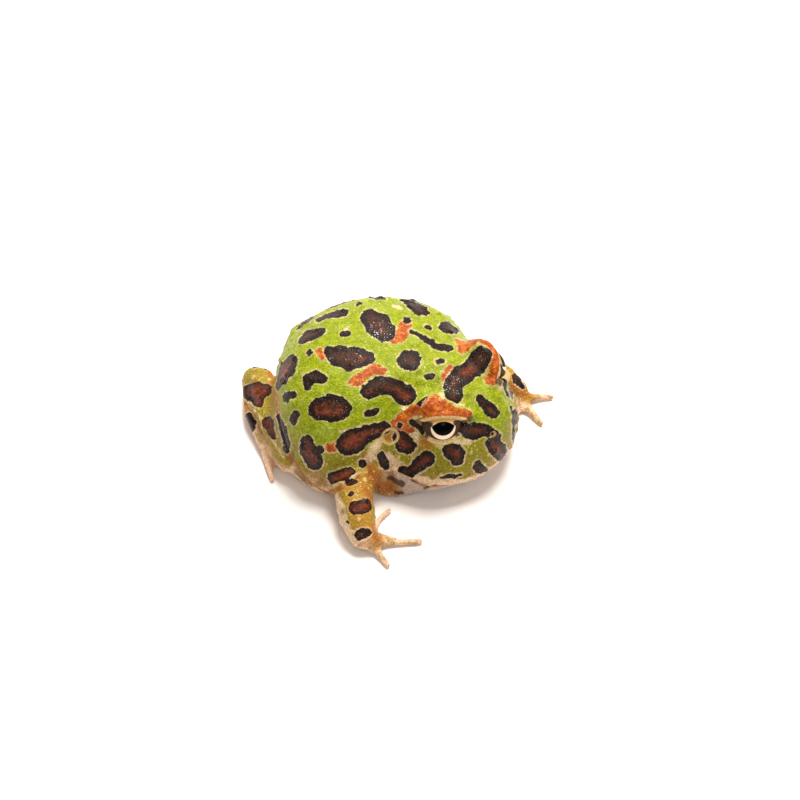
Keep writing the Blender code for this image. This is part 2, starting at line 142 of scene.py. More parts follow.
# ---- dark blotches: chains of circles (x, y, radius) in the view's pixels ----
BACK_BLOTCHES = (
    ((317.5, 320.5, 2.8), (326, 317, 4.6), (340, 313.5, 5), (345, 313, 4.2)),
    ((303.5, 339, 6), (309, 335.5, 7), (319.5, 332, 4.6), (323, 331, 3)),
    ((342.5, 333, 2.6), (347, 333.5, 2.8)),
    ((371, 317.5, 10.5), (378, 325, 13.5), (384.5, 331.5, 11.2)),
    ((347.5, 298.5, 2), (354, 296, 2.2)),
    ((371, 297.6, 2.8), (378, 298.2, 3.9), (384, 298.6, 2.6)),
    ((356.5, 305.3, 1.3), (361, 303.6, 2)),
    ((330, 352, 6.5), (339, 356.5, 11.5), (350, 359, 13), (360, 358.5, 10.5), (368.5, 357.5, 6.8)),
    ((310.2, 352.3, 3.6),),
    ((307.5, 386.5, 4.2), (308.5, 379, 6.2), (315, 376.5, 6.6), (322.5, 379, 5.6)),
    ((319.5, 409.5, 11.2), (329, 408.5, 14), (338, 408.5, 12.4), (345, 407.3, 7)),
    ((367, 413.3, 3.3), (376, 412, 3.6)),
    ((368, 391.5, 8.6), (377, 386, 9), (388, 385.5, 8.7), (398, 389.5, 9), (406, 395.5, 10.5)),
    ((406.5, 360.5, 10.2), (411.5, 360.5, 10.4)),
    ((411, 331.5, 2.8), (420, 335.8, 3.2), (428.5, 341, 3.4), (434.5, 346, 4.2),
     (443, 348, 4.2), (450, 347.8, 3.8)),
    ((437.5, 361.8, 3.2), (443, 361.2, 3.3)),
    ((427, 376.8, 3.4), (432, 376.2, 3.5)),
    ((402.5, 300, 3.6), (411, 304.5, 6), (420, 310, 7), (425, 312.5, 4.5)),
    ((407.6, 319.8, 3.9),),
    ((426.5, 326, 2.4), (430, 327.8, 2.2)),
    ((443.5, 327.5, 5.6), (449, 328, 7.2), (455, 330, 5.5)),
    ((421, 403.8, 2.4), (426.5, 399.3, 2.6)),
)
HEAD_BLOTCHES = (
    ((482.5, 357, 9), (477.5, 363.5, 11), (468, 371.5, 10.2), (458, 377.5, 9.6), (452.5, 385, 9.4),
     (454, 395, 9.2)),
    ((479.5, 398.5, 4.8), (485, 404, 5.3), (491, 410.5, 6.2), (494, 413.5, 4.6)),
    ((466.5, 430.5, 7.2), (474, 430.5, 8.4), (483, 430, 6.2), (492, 432.5, 5), (498, 436.5, 4.5)),
    ((492.5, 443, 6.5), (497.5, 449, 9), (501, 454, 7.8)),
    ((477, 465, 5.2), (480.5, 469, 5.2), (486, 469.5, 3)),
    ((441.5, 477.2, 2), (452, 476.3, 2.3), (461, 475, 1.7)),
    ((450, 450.5, 8), (457, 453, 9), (458, 459, 7.4)),
    ((402, 470, 5), (410, 471.5, 5.6), (418, 466, 6.8), (427, 459, 7.6)),
    ((400, 439, 7.5), (404, 444, 9.4), (408.5, 445.5, 8)),
    ((381, 457, 4.6), (384, 462, 4.4), (387, 467.5, 2)),
    ((400.1, 424.2, 2.8),),
    ((412.5, 422, 2.8), (417.5, 424.5, 3.6), (422, 430, 4)),
    ((461, 426, 4.2), (467, 429, 6.5)),
    ((513.2, 420, 2), (513.5, 432, 2.2), (514.3, 443, 2)),
    ((504.5, 371, 1.8), (505, 379, 2.2), (508, 395, 2.6)),
    ((510.5, 408, 2.2), (511.5, 413.5, 2.2)),
)
FLANK_BLOTCHES = (
    ((291, 361.5, 8), (286, 369.5, 11), (281.5, 378, 8.6), (277.5, 386, 4.6)),
    ((293, 394.5, 4), (287.5, 396.5, 5), (286.5, 400.5, 3.6)),
    ((295.8, 414, 3.3), (293.5, 421.8, 4.2)),
    ((347, 445, 10.5), (354, 440.5, 12.8), (366, 434, 9.5), (376, 430, 8), (384, 427.5, 6.3)),
    ((307.5, 442, 6.8), (308.5, 451, 9.6), (314, 460, 10.2)),
    ((320, 450, 4.8), (314, 455, 6)),
    ((333.5, 478.5, 7), (342, 475.5, 6.8), (350.5, 472.5, 5.2)),
    ((362.3, 464.2, 4.8),),
)
LIMB_BLOTCHES = (
    ((250, 392.5, 8.5), (258, 391.5, 10), (265, 390, 7)),
    ((258, 392, 8), (258, 402, 5.8)),
    ((248.5, 417, 4.8), (251.5, 427, 4.8)),
    ((268, 422.5, 6), (271.5, 431, 5), (274.5, 437, 2.8)),
    ((278.5, 416, 3.2), (283, 430, 5.4), (286, 442, 5), (286.5, 451, 2.8)),
    ((254.5, 367, 1.6), (260.5, 366.5, 2), (266, 369, 1.4)),
    ((355.5, 508, 6.8), (365, 505.5, 7.4)),
    ((359, 535, 5.6), (366.5, 532.5, 5.4)),
    ((351.8, 494.2, 2.8),),
    ((348, 483, 2.6), (355, 482, 2.8)),
    ((347.2, 522.3, 2),),
    ((514.5, 375, 2.6), (517.5, 380.5, 4.4), (522, 386, 2.8)),
)
THROAT_BARS = (
    ((389, 479.5, 2.2), (402, 485, 2.8)),
    ((424.5, 489.8, 1.1), (431, 487.2, 1.6), (437.5, 485, 1.1)),
    ((411, 481.6, 1), (415, 482.8, 0.9)),
    ((395.5, 492.2, 1.2), (403, 493.6, 1.3)),
)
SOFT_SPOTS = (
    ((296, 472, 2.4), (304, 480, 3), (311, 486, 2.2)),
    ((292.9, 453, 2), (293, 459, 2.2)),
    ((339.8, 496.3, 2.6),),
    ((343, 511.8, 2.4),),
)

# ---- orange patches, in the same way ----
ORANGE_PATCHES = (
    ((391.5, 341, 2.8), (398, 337.5, 5.8), (404, 333, 5.6), (404.5, 327, 5.6), (409, 325, 3)),
    ((319.5, 352, 4.2), (323, 355.5, 4)),
    ((352, 384, 3.6), (357.5, 380, 6.2), (364, 375, 5.2), (371, 369.5, 5.8), (378, 370, 4.2),
     (384.5, 371.5, 2.2)),
    ((458.8, 342, 4.4), (463, 346, 3.2)),
    ((461, 350, 3.6), (471, 343.5, 4.6), (482, 341, 5.4), (491, 343.5, 6.6), (497, 351, 7.6),
     (498.5, 361, 8), (496, 371.5, 7.6), (490, 380, 5.8)),
    ((449, 369.5, 3.8), (444, 376, 3.4), (443, 383, 1.8)),
    ((396, 423, 4), (405, 416.5, 5), (415, 410, 5.5), (424, 410, 7.4), (436, 408.5, 9.4),
     (447, 411.5, 7.2), (456, 413.5, 5.2), (466, 414, 5)),
    ((434.5, 399, 4.5), (436, 404, 5)),
    ((401, 429, 3.2), (411, 429.5, 2.6)),
    ((328.5, 448.5, 3.6), (336, 447, 4)),
    ((401, 421, 4), (405.5, 425, 3.4), (406, 431, 2.4)),
)
ARMPIT_PATCHES = (
    ((512, 386, 3), (520, 390, 4.2), (527, 395, 3.4)),
    ((386, 486, 5), (394, 489, 4)),
    ((370, 469, 3.6), (376, 479, 6.4), (382, 489, 6)),
    ((363, 479, 2.6), (372, 481, 3.4)),
    ((365, 489, 3.2), (372, 499, 2.6)),
    ((387, 431, 2.2), (389, 438, 2.6)),
    ((424.5, 441, 2.8), (431, 443.5, 3)),
    ((270, 373, 2.8), (273, 381, 2.2)),
    ((275, 390, 2.2), (276, 401, 2.6), (279, 412, 1.6)),
    ((372, 530, 4), (376, 537, 5.8), (378, 544, 4.4)),
)
AMBER_PATCHES = (
    ((348, 487, 6), (360, 489, 9), (371, 492, 7)),
    ((356, 501, 9), (361, 517, 10), (366, 529, 7)),
    ((512, 372, 6), (517, 380, 8), (524, 390, 8), (530, 398, 6)),
)
CREAM_PATCHES_AND_HIGHLIGHT = (
    ((392.8, 305.4, 1.3), (396.5, 306.9, 1.9), (401, 309, 1)),
    ((410, 431.5, 2.4), (416, 435.5, 3.6), (418.5, 442, 2.4)),
    ((436, 445, 2), (440, 446, 2.2)),
    ((413, 418, 2.2), (421.5, 417, 2.4)),
    ((388, 455, 3), (396, 463, 5), (402, 463, 2.6)),
    ((468, 442, 3), (461, 443, 2.4)),
    ((337, 497, 4.4), (340, 512, 6), (345, 527, 5.4), (351, 541, 4.6)),
    ((327, 487.5, 1.2), (338, 486, 1.4), (347, 480, 1.4), (357, 475, 1.4), (366, 472.5, 1.2)),
    ((251, 400, 1), (258, 413, 1.2), (266, 427, 1.3), (275, 443, 1.3), (284, 457, 1.3)),
    ((441, 447, 2.6), (452, 443.5, 2.6), (459, 441, 2.2)),
    ((379, 441, 4.4), (373, 450, 5), (369, 460, 4.6)),
    ((404, 408.5, 2.6), (410, 409.8, 1.6)),
    ((441, 394.5, 2.6), (442.5, 399.5, 2)),
    ((455, 406, 1.8), (463, 405, 2.2)),
    ((391, 461, 3.6), (395, 470, 4), (397, 476, 3)),
    ((352, 432, 1.6), (340, 431, 1.6)),
    # This pale streak on the back is a painted highlight, not a marking.
    ((345, 330.5, 1.4), (349, 326, 1.4)),
)

# ---- the side that the view doesn't show, in millimetres ----
FAR_BACK_BLOTCHES = (  # (x, y, radius) seen from above
    ((11.5, 3.5, 1.6), (12.8, 1.0, 1.9)),
    ((4.0, 13.2, 1.5), (6.2, 12.4, 1.8)),
    ((9.6, 8.6, 0.7),),
    ((-1.5, 15.2, 1.1), (0.6, 15.5, 1.0)),
)
FAR_CHEEK_BLOTCHES = (  # (y, height, radius) seen from the left
    ((-19.4, 11.3, 0.8), (-18.2, 10.6, 1.3), (-17.8, 9.4, 1.0)),
    ((-21.9, 10.4, 0.9), (-21.6, 8.6, 0.8)),
    ((-14.2, 8.6, 0.7), (-13.2, 9.3, 0.9)),
    ((-10.6, 12.0, 0.9), (-9.6, 13.2, 0.7)),
)

# ---- folds and creases: places (x, y) in the view's pixels, then half width and height in
# millimetres and the x about which the other side's fold mirrors ----
HEAD_AXIS, TRUNK_AXIS, HIND_AXIS = 0.0, -2.2, -1.3
RIDGES = (
    (((398, 421), (409, 411), (422, 404), (434, 399), (446, 403), (458, 409), (470, 414)),
     0.75, 0.42, HEAD_AXIS),
    (((431, 404), (436, 396)), 0.8, 0.3, HEAD_AXIS),
    (((470, 414), (480, 420), (490, 428)), 0.7, 0.2, HEAD_AXIS),
    (((411, 421), (400, 419), (389, 425), (379, 433), (372, 443), (368, 455)), 0.55, 0.25, HEAD_AXIS),
    (((300, 463), (308, 476), (319, 486), (330, 489)), 0.6, 0.3, TRUNK_AXIS),
    (((330, 487), (338, 485.5), (347, 479.5), (357, 474.5), (367, 471)), 0.5, 0.42, TRUNK_AXIS),
    (((250.5, 402), (262, 420), (274, 440), (287, 459)), 0.32, 0.24, HIND_AXIS),
    (((374, 470), (380, 480), (383, 490)), 0.7, 0.3, HEAD_AXIS),
)
CREASES = (
    (((366, 455), (367, 466), (371, 476), (377, 488)), 0.35, 0.35, TRUNK_AXIS),
    (((332, 491), (340, 489.5), (349, 483), (359, 478)), 0.3, 0.35, TRUNK_AXIS),
    (((296, 462), (304, 475), (316, 486), (330, 493)), 0.3, 0.22, TRUNK_AXIS),
    (((276, 397), (278, 415), (282, 433), (288, 450), (291, 462)), 0.35, 0.35, TRUNK_AXIS),
    (((245, 404), (257, 424), (268, 444)), 0.25, 0.22, HIND_AXIS),
    (((412, 481), (425, 488), (445, 486), (462, 483)), 0.3, 0.12, HEAD_AXIS),
    (((388, 463), (392, 476), (388, 490)), 0.4, 0.25, HEAD_AXIS),
)


# ==== sizes and colours ====


def amount(name, description, default, low=0.0, **settings):
    return FloatProperty(name=name, description=description, default=default, min=low, **settings)


def count(name, description, default, low=0):
    return IntProperty(name=name, description=description, default=default, min=low)


class FrogSkinSizes(bpy.types.PropertyGroup):
    """How the skin's surface is built, in millimetres."""

    grain: amount("Mesh grain", "Spacing of the skin's points, in mm", 0.27, low=0.15)
    swell: amount("Swell", "How far the solids grow to close their gaps, in mm", 0.19, low=0.1)
    smoothing: count("Smoothing", "Passes that round off the solids' facets", 55)
    lid_thickness: amount("Lid thickness", "Of the rim round each eye, in mm", 0.34, low=0.1)
    lip_depth: amount("Lip groove", "Depth of the mouth's groove, in mm", 0.34)
    warts: count("Warts", "How many warts the skin has", 520)
    wart_height: amount("Wart height", "Of the largest warts, in mm", 0.34)
    seed: count("Seed", "Changes where the warts are", 7)
    triangles: count("Triangles", "How many triangles the skin is thinned to", 195000, low=50000)


def colour(name, description, value):
    return FloatVectorProperty(name=name, description=description, subtype="COLOR", size=3,
                               min=0.0, max=1.0, default=value)


class FrogColours(bpy.types.PropertyGroup):
    """Colours of the skin and the eyes."""

    lime: colour("Lime", "Ground colour of the back", (0.295, 0.34, 0.002))
    leaf: colour("Leaf", "Darker green mottling of the back", (0.20, 0.26, 0.003))
    mint: colour("Mint", "Paler green of the back", (0.33, 0.39, 0.045))
    olive: colour("Olive", "Ground colour of the sides", (0.25, 0.225, 0.006))
    bronze: colour("Bronze", "Brown mottling of the sides", (0.19, 0.10, 0.012))
    tan: colour("Tan", "Ground colour low on the sides", (0.36, 0.19, 0.075))
    gold: colour("Gold", "Ground colour of the limbs", (0.37, 0.215, 0.028))
    amber: colour("Amber", "Upper sides of the forearms", (0.44, 0.225, 0.03))
    sand: colour("Sand", "Low on the limbs", (0.48, 0.30, 0.13))
    cream: colour("Cream", "Belly, lips and the edges of blotches", (0.78, 0.56, 0.36))
    # Pearl also paints the granules' tips, as painted highlights.
    pearl: colour("Pearl", "Tips of warts and granules", (0.80, 0.66, 0.26))
    peach: colour("Peach", "Fingers and toes", (0.84, 0.56, 0.37))
    pale_lid: colour("Pale lid", "Margins of the eyelids", (0.66, 0.45, 0.20))
    lilac: colour("Lilac", "Throat", (0.52, 0.42, 0.37))
    # Rim also paints the nostrils' holes, as painted shade.
    rim: colour("Rim", "Near black rims of the blotches", (0.012, 0.006, 0.004))
    umber: colour("Umber", "Dark mottling inside the blotches", (0.035, 0.013, 0.006))
    chestnut: colour("Chestnut", "Middles of the brown blotches", (0.062, 0.020, 0.009))
    mahogany: colour("Mahogany", "Middles of the red blotches", (0.225, 0.042, 0.015))
    orange: colour("Orange", "Patches on the brows and the back", (0.55, 0.145, 0.013))
    # Ember also paints the shadow line above the upper lids.
    ember: colour("Ember", "Darker mottling of the patches", (0.32, 0.055, 0.006))
    # Rust is the armpits' own colour; along creases it is partly painted shade.
    rust: colour("Rust", "Armpits and creases", (0.36, 0.115, 0.02))
    iris_gold: colour("Iris gold", "Upper part of the iris", (0.42, 0.22, 0.06))
    iris_cream: colour("Iris cream", "Crescent under the pupil", (0.80, 0.63, 0.47))
    iris_brown: colour("Iris brown", "Bar before and behind the pupil", (0.035, 0.018, 0.010))


class FrogStageSizes(bpy.types.PropertyGroup):
    """Floor and lamps."""

    floor_size: amount("Floor", "Side of the floor", 1.6, subtype="DISTANCE", unit="LENGTH")
    lamp_power: amount("Lamp", "Power of the large lamp overhead", 3.0, unit="POWER")
    fill_power: amount("Fill", "Power of the low lamp on the right", 0.6, unit="POWER")
    glint_power: amount("Window", "Power of the small lamp behind", 0.9, unit="POWER")
    sky_strength: amount("Sky", "Strength of the light from all round", 0.38)


# ==== the view's geometry ====


def view_axes():
    """Right, up and back, as unit vectors."""
    level, tilt = VIEW_AZIMUTH, VIEW_ELEVATION
    back = Vector((math.sin(level) * math.cos(tilt), -math.cos(level) * math.cos(tilt), math.sin(tilt)))
    right = Vector((0, 0, 1)).cross(back).normalized()
    return right, back.cross(right), back


RIGHT, UP, BACK = view_axes()


def seen(points):
    """Pixel x, pixel y and distance towards the viewer, of points in millimetres."""
    offset = points - np.array(AIM)
    away = offset @ np.array(BACK)
    scale = PIXELS_PER_MM * VIEW_DISTANCE / (VIEW_DISTANCE - away)
    x = PICTURE / 2 + scale * (offset @ np.array(RIGHT))
    y = PICTURE / 2 - scale * (offset @ np.array(UP))
    return np.stack([x, y, away], axis=1)


def sight_line(x, y):
    """The eye point and the direction that show at this pixel, in millimetres."""
    start = Vector(AIM) + BACK * VIEW_DISTANCE
    target = Vector(AIM) + RIGHT * ((x - PICTURE / 2) / PIXELS_PER_MM)
    target += UP * ((PICTURE / 2 - y) / PIXELS_PER_MM)
    return start, (target - start).normalized()


class Surface:
    """The skin's points in millimetres, and where lines meet it."""

    def __init__(self, piece):
        mesh = piece.data
        self.points = points_of(mesh)
        self.normals = normals_of(mesh)
        polygons = [tuple(p.vertices) for p in mesh.polygons]
        self.tree = BVHTree.FromPolygons([Vector(p) for p in self.points], polygons)
        self.pixels = seen(self.points)

    def hit(self, start, direction, otherwise):
        """Where a line first meets the skin, or another place if it misses."""
        place = self.tree.ray_cast(Vector(start), Vector(direction))[0]
        return np.array(otherwise if place is None else place)

    def at_pixel(self, x, y):
        """The point that shows at a pixel, or the nearest one to it on the outline."""
        gap = np.hypot(self.pixels[:, 0] - x, self.pixels[:, 1] - y)
        return self.hit(*sight_line(x, y), self.points[np.argmin(gap)])

    def from_above(self, x, y):
        return self.hit((x, y, OUTSIDE), (0, 0, -1), (x, y, 0.0))

    def from_left(self, y, height):
        return self.hit((OUTSIDE, y, height), (-1, 0, 0), (0.0, y, height))

    def from_front(self, x, height):
        return self.hit((x, -OUTSIDE, height), (0, 1, 0), (x, 0.0, height))


# ==== meshes as arrays ====


def read(collection, field):
    flat = np.empty(len(collection) * 3, np.float32)
    collection.foreach_get(field, flat)
    return flat.reshape(-1, 3).astype(float)


def points_of(mesh):
    return read(mesh.vertices, "co") / MM


def normals_of(mesh):
    return read(mesh.vertex_normals, "vector")


def set_points(mesh, points):
    mesh.vertices.foreach_set("co", (points * MM).astype(np.float32).ravel())
    mesh.update()


def store(mesh, name, values):
    """Keep one number for each point, for the material to read."""
    attribute = mesh.attributes.new(name, "FLOAT", "POINT")
    attribute.data.foreach_set("value", values.astype(np.float32))


class Net:
    """Which points are joined by edges, for averaging over neighbours."""

    def __init__(self, mesh):
        ends = np.empty(len(mesh.edges) * 2, np.int32)
        mesh.edges.foreach_get("vertices", ends)
        self.a, self.b = ends.reshape(-1, 2).T
        self.count = len(mesh.vertices)
        self.degree = np.maximum(1, np.bincount(ends, minlength=self.count))

    def mean(self, values):
        """The mean of each point's neighbours, for values in one or more columns."""
        columns = values.reshape(self.count, -1)
        out = np.empty_like(columns)
        for i in range(columns.shape[1]):
            column = columns[:, i]
            total = np.bincount(self.a, column[self.b], self.count)
            total += np.bincount(self.b, column[self.a], self.count)
            out[:, i] = total / self.degree
        return out.reshape(values.shape)

    def smooth(self, values, passes, share=1.0):
        """Even out values or round off a form; share says how much of each pass a point takes."""
        for _ in range(passes):
            values = values + 0.5 * share * (self.mean(values) - values)
        return values


def ease(value, start, end):
    """0 before start, 1 after end, smooth between. start may be the larger."""
    t = np.clip((value - start) / (end - start), 0.0, 1.0)
    return t * t * (3 - 2 * t)


def bell(distance, half_width):
    return np.exp(-((distance / half_width) ** 2))


def band(distance, height, half_width, middle=0.0):
    return height * bell(distance - middle, half_width)


def lengths(vectors):
    return np.linalg.norm(vectors, axis=1)


def segment_gap(points, first, second):
    """Distance from each point to a segment, and how far along it the nearest place lies."""
    along = second - first
    length = max(float(along @ along), 1e-9)
    t = np.clip((points - first) @ along / length, 0.0, 1.0)
    return lengths(points - first - t[:, None] * along), t


# ==== bpy.ops helpers ====


def deselect():
    bpy.ops.object.select_all(action="DESELECT")


def make_active(piece):
    deselect()
    piece.select_set(True)
    bpy.context.view_layer.objects.active = piece


def add(operator, name, **settings):
    """What one of Blender's add operators makes, named."""
    deselect()
    operator(**settings)
    made = bpy.context.active_object
    made.name = name
    return made


def apply_modifier(piece, kind, **settings):
    make_active(piece)
    modifier = piece.modifiers.new(kind.lower(), kind)
    for name, value in settings.items():
        setattr(modifier, name, value)
    bpy.ops.object.modifier_apply(modifier=modifier.name)


def refine(piece, chosen):
    """Divide the faces whose points are all chosen, once."""
    mesh = piece.data
    make_active(piece)
    mesh.polygons.foreach_set("select", [all(chosen[v] for v in p.vertices) for p in mesh.polygons])
    mesh.vertices.foreach_set("select", np.zeros(len(mesh.vertices), bool))
    mesh.edges.foreach_set("select", np.zeros(len(mesh.edges), bool))
    bpy.ops.object.mode_set(mode="EDIT")
    bpy.ops.mesh.select_mode(type="FACE")
    bpy.ops.mesh.subdivide(number_cuts=1)
    bpy.ops.object.mode_set(mode="OBJECT")


# ==== the eye's own axes ====


class EyeAxes:
    """Centre and radius from the frame, and the directions of gaze, nose and brow."""

    def __init__(self, label):
        low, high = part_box(f"{label}_eye")
        side = 1 if label == "left" else -1
        self.label = label
        self.centre = np.array((low + high) / 2) / MM
        self.radius = (high - low).x / 2 / MM
        gaze = Vector((side * GAZE[0], GAZE[1], GAZE[2])).normalized()
        up = Vector((0, 0, 1))
        self.gaze = np.array(gaze)
        self.fore = np.array(side * gaze.cross(up).normalized())
        self.lift = np.array((up - gaze * gaze.z).normalized())

    def polar(self, points):
        """Distance from the centre, and arc lengths on the eyeball towards nose and brow."""
        offset = points - self.centre
        reach = lengths(offset)
        along, up = offset @ self.fore, offset @ self.lift
        s = self.radius * np.arctan2(along, offset @ self.gaze)
        t = self.radius * np.arcsin(np.clip(up / np.maximum(reach, 1e-6), -1, 1))
        return offset, reach, s, t

    def holds(self, offset, behind, beyond):
        """Which offsets lie less than behind radii back and beyond millimetres off the eyeball."""
        return (offset @ self.gaze > -behind * self.radius) & (lengths(offset) < self.radius + beyond)


EYES = [EyeAxes("left"), EyeAxes("right")]


def almond_arcs(s, t, ahead, lift, half_length, rise, drop):
    """The two arcs that bound an almond: offsets from each one's centre, and its radius."""
    for height, sign in ((rise, 1), (drop, -1)):
        radius = (half_length**2 + height**2) / (2 * height)
        yield s - ahead, (t - lift) * sign + (radius - height), radius


def almond_gap(s, t, almond):
    """Signed distance to an almond's edge, negative inside."""
    return np.maximum(*(np.hypot(x, y) - radius for x, y, radius in almond_arcs(s, t, *almond)))


# ==== the skin's form ====


def joined_solids():
    """One object made of copies of every solid, the eyeballs too, so that it has no holes."""
    deselect()
    copies = []
    for node in frame["nodes"].values():
        twin = node.copy()
        twin.data = node.data.copy()
        twin.parent = None
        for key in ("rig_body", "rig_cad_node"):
            del twin[key]
        bpy.context.scene.collection.objects.link(twin)
        twin.select_set(True)
        copies.append(twin)
    bpy.context.view_layer.objects.active = copies[0]
    bpy.ops.object.join()
    skin = copies[0]
    skin.name = skin.data.name = "skin"
    skin.data.materials.clear()
    bpy.ops.object.mode_set(mode="EDIT")
    bpy.ops.mesh.select_all(action="SELECT")
    bpy.ops.mesh.remove_doubles(threshold=1e-6)
    bpy.ops.object.mode_set(mode="OBJECT")
    return skin


def node_weights(skin, net):
    """How much of each named region a point belongs to, with soft borders."""
    vertices, faces, owners = [], [], []
    for name, node in frame["nodes"].items():
        start = len(vertices)
        vertices += [Vector(v.co) / MM for v in node.data.vertices]
        for polygon in node.data.polygons:
            faces.append([start + v for v in polygon.vertices])
            owners.append(name)
    tree = BVHTree.FromPolygons(vertices, faces)
    nearest = [owners[tree.find_nearest(Vector(p))[2]] for p in points_of(skin.data)]
    regions = {
        "limb": ("upper_arm", "forearm", "thigh", "shank"),
        "hand": ("hand",),
        "foot": ("foot",),
        "jaw": ("lower_jaw",),
        "head": ("head", "brow", "eye"),
    }
    weights = {}
    for region, endings in regions.items():
        hard = np.array([name.endswith(endings) for name in nearest], float)
        weights[region] = net.smooth(hard, 6)
    return weights


def near_eyes(points, reach):
    chosen = np.zeros(len(points), bool)
    for eye in EYES:
        chosen |= lengths(points - eye.centre - eye.gaze * LIDS_AHEAD) < reach
    return chosen


def mouth_height(y):
    (front_y, front_z), (corner_y, corner_z) = MOUTH_FRONT, MOUTH_CORNER
    return front_z + (corner_z - front_z) * (y - front_y) / (corner_y - front_y)


def shape_lids(points, thickness):
    """Open the skin over each eyeball, with a rim that hugs it."""
    for eye in EYES:
        offset, reach, s, t = eye.polar(points)
        gap = almond_gap(s, t, OPENING)
        upper = ease(t, -0.4, 0.6)
        crest = thickness * (1 + 0.35 * upper) * ease(gap, 0.0, 0.38)
        fall = 0.55 * thickness * ease(gap, 0.5, 1.5)
        lid = np.maximum(reach, eye.radius + LID_CLEARANCE + crest - fall)
        inside = eye.radius - SOCKET_DEPTH * ease(-gap, -0.02, 0.14)
        inside += LID_CLEARANCE * ease(-gap, 0.14, 0.0)
        wanted = np.where(gap > 0, lid, inside)
        scale = np.where(eye.holds(offset, 0.2, LIDS_BEYOND), wanted / np.maximum(reach, 1e-6), 1.0)
        points = eye.centre + offset * scale[:, None]
    return points


def mouth_relief(points, head_share, depth):
    """A groove along the mouth, a rolled lip above it and a jaw that tucks in below."""
    rise = points[:, 2] - mouth_height(points[:, 1])
    front = ease(points[:, 1], MOUTH_CORNER[0] + 0.6, MOUTH_CORNER[0] - 1.2) * head_share
    relief = band(rise, *UPPER_LIP) - band(rise, depth, MOUTH_GROOVE_HALF_WIDTH)
    relief -= JAW_TUCK * ease(rise, -0.15, -0.6) * ease(rise, -3.6, -1.6)
    return relief * front


def nostril_gap(surface, points):
    """Distance to the middle of the nearer nostril."""
    side, height = NOSTRIL
    places = [surface.from_front(x, height) for x in (-side, side)]
    return np.minimum(*(lengths(points - place) for place in places))


def nostril_relief(gap):
    """A hole with a raised rim."""
    return band(gap, *NOSTRIL_RIM) - band(gap, *NOSTRIL_HOLE)


def other_side(place, axis=0.0):
    """The place's counterpart on the other side of the body."""
    x, y, z = place
    lowest, hindmost = BROW_PLACES
    shift = LEFT_BROW_SHIFT if z > lowest and y < hindmost else (0, 0, 0)
    return np.array((2 * axis - x, y, z)) + np.array(shift)


def eardrum_gap(surface, points):
    """Distance to the rim of the nearer eardrum, negative inside it."""
    drum = surface.at_pixel(*EARDRUM_PIXEL)
    gaps = [lengths(points - place) for place in (drum, other_side(drum))]
    return np.minimum(*gaps) - EARDRUM_RADIUS


def eardrum_relief(gap):
    """A sunken disc in a raised ring."""
    return band(gap, *EARDRUM_RIM) - EARDRUM_DEPTH * ease(gap, -0.05, -0.55)


def fold_relief(surface, points):
    """Ridges and creases along the lines given at the top, on both sides of the body."""
    relief, crease_tint_and_shade = np.zeros(len(points)), np.zeros(len(points))
    for lines, sign in ((RIDGES, 1), (CREASES, -1)):
        for line, half_width, height, axis in lines:
            places = [surface.at_pixel(x, y) for x, y in line]
            for track in (places, [other_side(place, axis) for place in places]):
                gap = np.full(len(points), OUTSIDE)
                for first, second in zip(track, track[1:]):
                    gap = np.minimum(gap, segment_gap(points, first, second)[0])
                relief += sign * band(gap, height, half_width)
                # Closeness to a crease, for its rust tint and painted shade.
                if sign < 0:
                    crease_tint_and_shade = np.maximum(crease_tint_and_shade, bell(gap, 2.4 * half_width))
    return relief, crease_tint_and_shade


def wart_relief(points, body_share, sizes):
    """Scattered warts of random sizes on the body, away from the eyes. Returns their relief and their
    tips' weight.
    """
    random = np.random.default_rng(sizes.seed)
    relief, tips = np.zeros(len(points)), np.zeros(len(points))
    candidates = np.flatnonzero((body_share > 0.6) & (points[:, 2] > 2.0) & ~near_eyes(points, 4.6))
    places = []
    for index in random.permutation(candidates)[: sizes.warts * 6]:
        place = points[index]
        spacing = random.uniform(*WART_SPACINGS)
        if len(places) and np.min(lengths(np.array(places) - place)) < spacing:
            continue
        places.append(place)
        size = random.random() ** 2.2
        half_width = np.interp(size, (0, 1), WART_HALF_WIDTHS)
        close = np.flatnonzero(np.abs(points - place).max(axis=1) < 3 * half_width)
        bump = bell(lengths(points[close] - place), half_width)
        relief[close] += sizes.wart_height * (0.3 + 0.7 * size) * bump
        tips[close] = np.maximum(tips[close], bump)
        if len(places) >= sizes.warts:
            break
    return relief, tips


# ==== markings ====


def depth_scaled(pixels, share):
    """Pixel space with the way towards the viewer as a third axis, counted only in part, so
    that a blotch follows the surface round its edge but doesn't appear behind the body."""
    return np.stack([pixels[:, 0], pixels[:, 1], pixels[:, 2] * PIXELS_PER_MM * share], axis=1)


def chain_gap(space, chains, locate):
    """Signed distance to the nearest chain of circles, in the units of the space."""
    nearest = np.full(len(space), np.inf)
    for chain in chains:
        balls = [(locate(x, y), radius) for x, y, radius in chain]
        if len(balls) == 1:
            balls *= 2
        for (first, r1), (second, r2) in zip(balls, balls[1:]):
            gap, t = segment_gap(space, first, second)
            nearest = np.minimum(nearest, gap - (r1 + (r2 - r1) * t))
    return nearest


